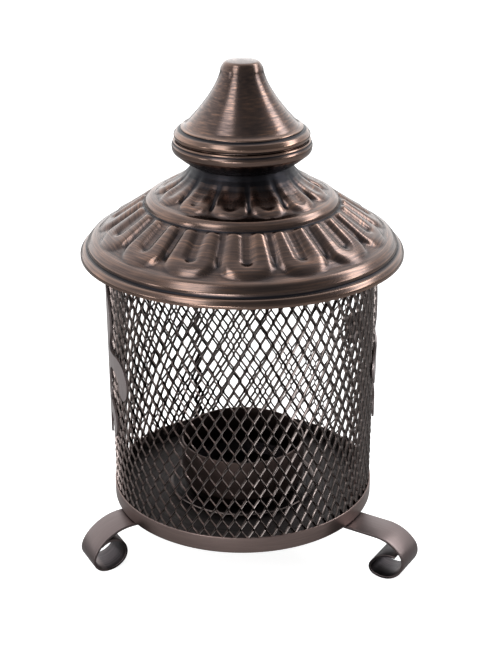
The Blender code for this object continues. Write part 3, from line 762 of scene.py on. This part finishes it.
def make_screen():
    """The expanded-metal screen and its seam."""
    screen = ScreenSheet()
    for row in range(ROW_COUNT):
        for place in range(row % 2, 2 * CELLS_ROUND, 2):
            screen.opening(row, place)
    for place in range(2 * CELLS_ROUND):
        for end in ("low", "high"):
            screen.wall(screen.border(end, place), screen.border(end, place + 1))
    seam_points, seam_faces = seam_strip(len(screen.points))
    points = screen.points + seam_points
    lengths = len(seam_points) // 4 - 1
    slots = screen.slots + [FACE, CUT, FACE, CUT] * lengths + [CUT, CUT]
    brush = np.array(points) * SCREEN_BRUSH
    mesh_piece("mesh_screen_expanded", points, screen.faces + seam_faces, [SCREEN, CUT_EDGE], "base",
               ["mesh_screen"], brush, slots, crease=SCREEN_CREASE)


# ---------------------------------------------------------------- feet

STRAP_THICKNESS = 1.6
STRAP_WIDTH = 20.0
STRAP_EDGE = 0.35         # rounding of its edges
STRAP_START = 18.0
STRAP_CENTRE = 26.9
STRAP_STEP = 6.0          # length of a step of its straight run
# azimuth, length of the straight run, (radius, turn) of each bend in proportion
FEET = {
    "left": (-61.8, 80.2, ((30.0, 48.0), (19.5, 22.0), (8.0, 95.0), (13.5, 55.0), (9.6, 185.0))),
    "right": (58.0, 98.2, ((22.0, 48.0), (9.2, 54.0), (13.7, 99.0), (4.5, 95.0), (15.5, 70.0))),
    "back": (178.5, 88.0, ((25.0, 50.0), (13.0, 45.0), (11.0, 95.0), (8.0, 100.0), (9.5, 110.0))),
}
BEND_STEP = 5.0           # degrees of a bend per step
GROW_RANGE = (0.5, 1.5)   # how much the bends may shrink or grow to settle on the floor
HALVINGS = 30
STRAP_BRUSH = 25          # how far the brushing is drawn out along a strap
# painted shade inside a roll: how far in from the foot's end and from what height it starts, its fade and
# its strength
ROLL_EDGE = 3.0
ROLL_TOP = 23.0
ROLL_FADE = 6.0
ROLL_STRENGTH = 0.58


def strap_line(run, bends, grow):
    """Centre line of a strap as rows of (distance from the axis, height, heading)."""
    line = [(distance, STRAP_CENTRE, 0.0) for distance in np.arange(STRAP_START, run, STRAP_STEP)]
    distance, height, heading = run, STRAP_CENTRE, 0.0
    line.append((distance, height, heading))
    for radius, turn in bends:
        radius *= grow
        start = math.radians(heading)
        middle = (distance - radius * math.sin(start), height - radius * math.cos(start))
        pieces = math.ceil(turn / BEND_STEP)
        for piece in range(1, pieces + 1):
            angle = math.radians(heading + turn * piece / pieces)
            distance = middle[0] + radius * math.sin(angle)
            height = middle[1] + radius * math.cos(angle)
            line.append((distance, height, math.degrees(angle)))
        heading += turn
    return np.array(line)


def settled_line(run, bends):
    """Strap line whose scroll's outer face just reaches the floor."""
    low, high = GROW_RANGE
    for _ in range(HALVINGS):
        grow = (low + high) / 2
        line = strap_line(run, bends, grow)
        lowest = (line[:, 1] + STRAP_THICKNESS / 2 * np.cos(np.radians(line[:, 2]))).min()
        low, high = (grow, high) if lowest > 0 else (low, grow)
    return line


def strap_section():
    """Cross-section of a strap: across it and through it."""
    side, face = STRAP_WIDTH / 2, STRAP_THICKNESS / 2
    return fillet([(-side, -face, STRAP_EDGE), (side, -face, STRAP_EDGE), (side, face, STRAP_EDGE),
                   (-side, face, STRAP_EDGE)], STRAP_ARC, closed=True)


def swept_faces(rows, count):
    """Faces of a closed section of count points swept through rows places, with its two ends."""
    faces = []
    for row in range(rows - 1):
        for place in range(count):
            after = (place + 1) % count
            faces.append([row * count + place, row * count + after, (row + 1) * count + after,
                          (row + 1) * count + place])
    faces.append(list(range(count)))
    faces.append([(rows - 1) * count + place for place in range(count)])
    return faces


def make_foot(name):
    """One scroll foot, swept along its line with eased edges."""
    azimuth, run, bends = FEET[name]
    line = settled_line(run, bends)
    dx, dy = direction(azimuth)
    section = strap_section()
    count = len(section)
    heading = np.radians(line[:, 2])
    out = line[:, None, 0] + section[None, :, 1] * np.sin(heading)[:, None]
    height = line[:, None, 1] + section[None, :, 1] * np.cos(heading)[:, None]
    across = np.repeat(section[None, :, 0], len(line), axis=0)
    points = np.stack([out * dx - across * dy, out * dy + across * dx, height], axis=2).reshape(-1, 3)
    step = np.linalg.norm(np.diff(line[:, :2], axis=0), axis=1)
    along = np.concatenate([[0], np.cumsum(step)])
    through = np.repeat(section[None, :, 1], len(line), axis=0)
    brush = np.stack([np.repeat(along[:, None], count, axis=1) / STRAP_BRUSH, through, across], axis=2)
    reach = line[:, 0].max()

    def roll_painted_shade(places):
        """Painted shade inside the roll at the foot's end."""
        away = places[:, 0] * dx + places[:, 1] * dy
        inward = np.clip((reach - ROLL_EDGE - away) / ROLL_FADE, 0.0, 1.0)
        return ROLL_STRENGTH * inward * np.clip((ROLL_TOP - places[:, 2]) / ROLL_FADE, 0.0, 1.0)

    mesh_piece("foot_" + name + "_scroll", points, swept_faces(len(line), count), [STRAP], "base",
               ["foot_" + name], brush.reshape(-1, 3), grime_and_shade=roll_painted_shade)


# ---------------------------------------------------------------- ornaments

ORNAMENTS = {"left": -81.0, "right": 99.5}
ORNAMENT_RADIUS = 79.6
ORNAMENT_SHEET = 1.2
ORNAMENT_STRIP = 1.6      # width of the flats that the bent sheet is made of
ORNAMENT_EDGE = 0.3       # width, rows and least angle of its eased edges
EDGE_ROWS = 2
EDGE_ANGLE = 50
ORNAMENT_BRUSH = 12       # how far the brushing is drawn out up an ornament
CURVE_PIECES = 6          # points from one of the outline's points to the next
# right half of the outline from its top tip: distance from the middle along the screen, height
ORNAMENT_HALF = (
    (0.0, 172.0), (7.0, 165.0), (11.5, 154.0), (11.5, 142.0), (8.0, 132.5), (15.0, 131.0),
    (24.0, 131.0), (31.0, 127.5), (35.0, 119.5), (34.3, 111.0), (30.0, 107.0), (25.5, 110.5),
    (23.5, 117.5), (17.0, 121.0), (9.0, 120.0), (5.0, 112.0), (4.8, 100.0), (10.5, 97.0),
    (15.5, 93.5), (18.0, 85.5), (16.0, 77.5), (12.5, 79.0), (11.5, 86.0), (7.0, 89.5),
    (3.5, 83.0),
)
ORNAMENT_FOOT = (0.0, 73.0)


def smooth_closed(points, pieces):
    """Points of a smooth closed curve through the given points."""
    knots = np.array(points)
    before, after, later = (np.roll(knots, shift, axis=0) for shift in (1, -1, -2))
    square = 2 * before - 5 * knots + 4 * after - later
    cube = 3 * knots - before - 3 * after + later
    result = [0.5 * (2 * knots + (after - before) * t + square * t ** 2 + cube * t ** 3)
              for t in np.arange(pieces) / pieces]
    return np.stack(result, axis=1).reshape(-1, 2)


def make_ornament(name):
    """One piece of scrollwork, cut flat and bent round the screen."""
    left = [(-x, z) for x, z in ORNAMENT_HALF[:0:-1]]
    outline = smooth_closed(list(ORNAMENT_HALF) + [ORNAMENT_FOOT] + left, CURVE_PIECES)
    bm = bmesh.new()
    bm.faces.new([bm.verts.new((x, 0, z)) for x, z in outline])
    strips = int(outline[:, 0].max() / ORNAMENT_STRIP)
    for strip in range(-strips, strips + 1):
        bmesh.ops.bisect_plane(bm, geom=bm.verts[:] + bm.edges[:] + bm.faces[:], dist=TINY,
                               plane_co=(strip * ORNAMENT_STRIP, 0, 0), plane_no=(1, 0, 0))
    grown = bmesh.ops.extrude_face_region(bm, geom=bm.faces[:])
    for element in grown["geom"]:
        if isinstance(element, bmesh.types.BMVert):
            element.co.y = ORNAMENT_SHEET
    bm.verts.index_update()
    flat = np.array([tuple(vert.co) for vert in bm.verts])
    faces = [[vert.index for vert in face.verts] for face in bm.faces]
    bm.free()
    radius = ORNAMENT_RADIUS + flat[:, 1]
    dx, dy = direction(ORNAMENTS[name] + np.degrees(flat[:, 0] / ORNAMENT_RADIUS))
    points = np.stack([radius * dx, radius * dy, flat[:, 2]], axis=1)
    brush = np.stack([flat[:, 2] / ORNAMENT_BRUSH, flat[:, 1], flat[:, 0]], axis=1)
    piece = mesh_piece("ornament_" + name + "_scrollwork", points, faces, [PLATE], "base",
                       ["ornament_" + name], brush)
    bevel = piece.modifiers.new("eased edge", "BEVEL")
    bevel.width = ORNAMENT_EDGE * MM
    bevel.segments = EDGE_ROWS
    bevel.angle_limit = math.radians(EDGE_ANGLE)


# ---------------------------------------------------------------- cup and dish

# profiles: radius, height, corner radius
CUP_CORNERS = (
    (0, 32.1, 0), (34.0, 32.1, 1.2), (38.0, 39.0, 1.5), (38.0, 64.0, 0.45),
    (37.0, 64.0, 0.45), (37.0, 39.3, 1.0), (33.4, 33.1, 0.8), (0, 33.1, 0),
)
DISH_CORNERS = (
    (2.4, 30.1, 0), (13.0, 30.1, 0.8), (15.0, 31.8, 0.8), (40.0, 31.8, 1.0),
    (43.3, 32.4, 1.5), (45.3, 33.6, 0),
)
DISH_SHEET = 0.8
CUP_SEGMENTS = 160


def make_cup():
    """The cup and the dish it stands in."""
    cup = fillet(CUP_CORNERS, PAN_ARC)
    turned_piece("candle_cup_spun", cup, CUP_SEGMENTS, [CUP_PAINTED_SHADE], "cup", ["candle_cup"],
                 closed=False)
    dish = sheet(fillet(DISH_CORNERS, PAN_ARC), DISH_SHEET)
    turned_piece("cup_dish_spun", dish, CUP_SEGMENTS, [DISH], "base", ["cup_dish"])


# ---------------------------------------------------------------- studio

STUDIO_CENTRE = (0.0, 0.0, 0.2)
# strip lights: both ends from the studio's centre, width, power
STRIP_LIGHTS = {
    "strip_left": ((-0.650, -0.970, 0.286), (-0.415, -0.198, 1.108), 0.36, 6.2),
    "strip_low": ((-1.056, -0.528, -0.02), (-1.056, -0.528, 0.42), 0.16, 1.3),
    "strip_front": ((-0.36, -1.09, -0.19), (-0.36, -1.09, -0.07), 0.56, 3.4),
    "strip_right": ((1.080, -0.180, 0.260), (0.580, 0.520, 0.900), 0.26, 7.2),
}
WORLD_FRONT = 0.26        # radiance of the studio in front of the chiminea, and behind it
WORLD_BACK = 2.0
WORLD_LEAN = 0.32         # how much the bright side leans to the left
WORLD_SPAN = (-0.5, 1.0)  # from how far in front to how far behind it brightens
BACKDROP = 1.05           # radiance of the backdrop itself
FLOOR_RADIUS = 8.0
FLOOR_SIDES = 96
FLOOR_GLOW = 0.86
FLOOR_PAINT = 0.60
FLOOR_REFLECTED = 0.40    # how pale the floor looks in the metal


def strip_light(name):
    """A long softbox that faces the studio's centre."""
    start, end, width, power = STRIP_LIGHTS[name]
    start, end = Vector(start), Vector(end)
    data = bpy.data.lights.new(name, "AREA")
    data.shape = "RECTANGLE"
    data.size = width
    data.size_y = (end - start).length
    data.energy = power
    light = bpy.data.objects.new(name, data)
    middle = (start + end) / 2
    along = (end - start).normalized()
    behind = (middle - along * middle.dot(along)).normalized()
    side = along.cross(behind)
    light.rotation_euler = Matrix((side, along, behind)).transposed().to_euler()
    light.location = AXIS + Vector(STUDIO_CENTRE) + middle
    bpy.context.scene.collection.objects.link(light)


def make_world():
    """A white backdrop that is dimmer in front, where nothing is lit."""
    world = bpy.data.worlds.new("studio")
    world.use_nodes = True
    bpy.context.scene.world = world
    tree = world.node_tree
    place = node(tree, "ShaderNodeTexCoord")
    axes = node(tree, "ShaderNodeSeparateXYZ")
    tree.links.new(place.outputs["Generated"], axes.inputs[0])
    lean = node(tree, "ShaderNodeMath", operation="MULTIPLY_ADD")
    tree.links.new(axes.outputs["X"], lean.inputs[0])
    lean.inputs[1].default_value = -WORLD_LEAN
    tree.links.new(axes.outputs["Y"], lean.inputs[2])
    radiance = span(tree, lean.outputs[0], *WORLD_SPAN, WORLD_FRONT, WORLD_BACK, shape="SMOOTHSTEP")
    seen = node(tree, "ShaderNodeLightPath")
    level = node(tree, "ShaderNodeMix")
    tree.links.new(seen.outputs["Is Camera Ray"], level.inputs["Factor"])
    tree.links.new(radiance, level.inputs["A"])
    level.inputs["B"].default_value = BACKDROP
    back = tree.nodes["Background"]
    back.inputs["Color"].default_value = (1, 1, 1, 1)
    tree.links.new(level.outputs["Result"], back.inputs["Strength"])


def make_floor():
    """A plain pale floor, bright to the camera and darker in reflections."""
    bm = bmesh.new()
    bmesh.ops.create_circle(bm, cap_ends=True, segments=FLOOR_SIDES, radius=FLOOR_RADIUS)
    mesh = bpy.data.meshes.new("studio_floor")
    bm.to_mesh(mesh)
    bm.free()
    floor = bpy.data.objects.new("studio_floor", mesh)
    pale = bpy.data.materials.new("pale_floor")
    pale.use_nodes = True
    tree = pale.node_tree
    shader = tree.nodes["Principled BSDF"]
    shader.inputs["Roughness"].default_value = 0.9
    shader.inputs["Specular IOR Level"].default_value = 0.0
    shader.inputs["Emission Color"].default_value = (1, 1, 1, 1)
    seen = node(tree, "ShaderNodeLightPath").outputs["Is Camera Ray"]
    tree.links.new(span(tree, seen, 0.0, 1.0, 0.0, FLOOR_GLOW), shader.inputs["Emission Strength"])
    tree.links.new(span(tree, seen, 0.0, 1.0, FLOOR_REFLECTED, FLOOR_PAINT), shader.inputs["Base Color"])
    mesh.materials.append(pale)
    bpy.context.scene.collection.objects.link(floor)


def make_camera():
    """The camera, in front and above."""
    data = bpy.data.cameras.new("camera")
    data.lens = CAMERA_LENS
    camera = bpy.data.objects.new("camera", data)
    camera.location = AXIS + Vector((0, -CAMERA_DISTANCE, CAMERA_HEIGHT)) * MM
    aim = AXIS + Vector(CAMERA_TARGET) * MM
    camera.rotation_euler = (aim - camera.location).to_track_quat("-Z", "Y").to_euler()
    bpy.context.scene.collection.objects.link(camera)
    bpy.context.scene.camera = camera


FASTENERS = ("dish_screw", "dish_washer", "dish_nut", "finial_rod", "lid_washer", "lid_nut")


def finish_node(name, material):
    """Give a CAD node that is shown as it is its look."""
    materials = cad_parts[name].data.materials
    materials.clear()
    materials.append(material)


bpy.context.scene.view_settings.view_transform = "Standard"
make_world()
make_floor()
make_camera()
for strip in STRIP_LIGHTS:
    strip_light(strip)
make_lid()
make_finial()
make_pan()
make_hoop()
make_seat()
make_screen()
for foot in FEET:
    make_foot(foot)
for ornament in ORNAMENTS:
    make_ornament(ornament)
make_cup()
for fastener in FASTENERS:
    finish_node(fastener, ZINC)
for foot in FEET:
    for place in ("inner", "outer"):
        finish_node("foot_" + foot + "_rivet_" + place, STRAP)
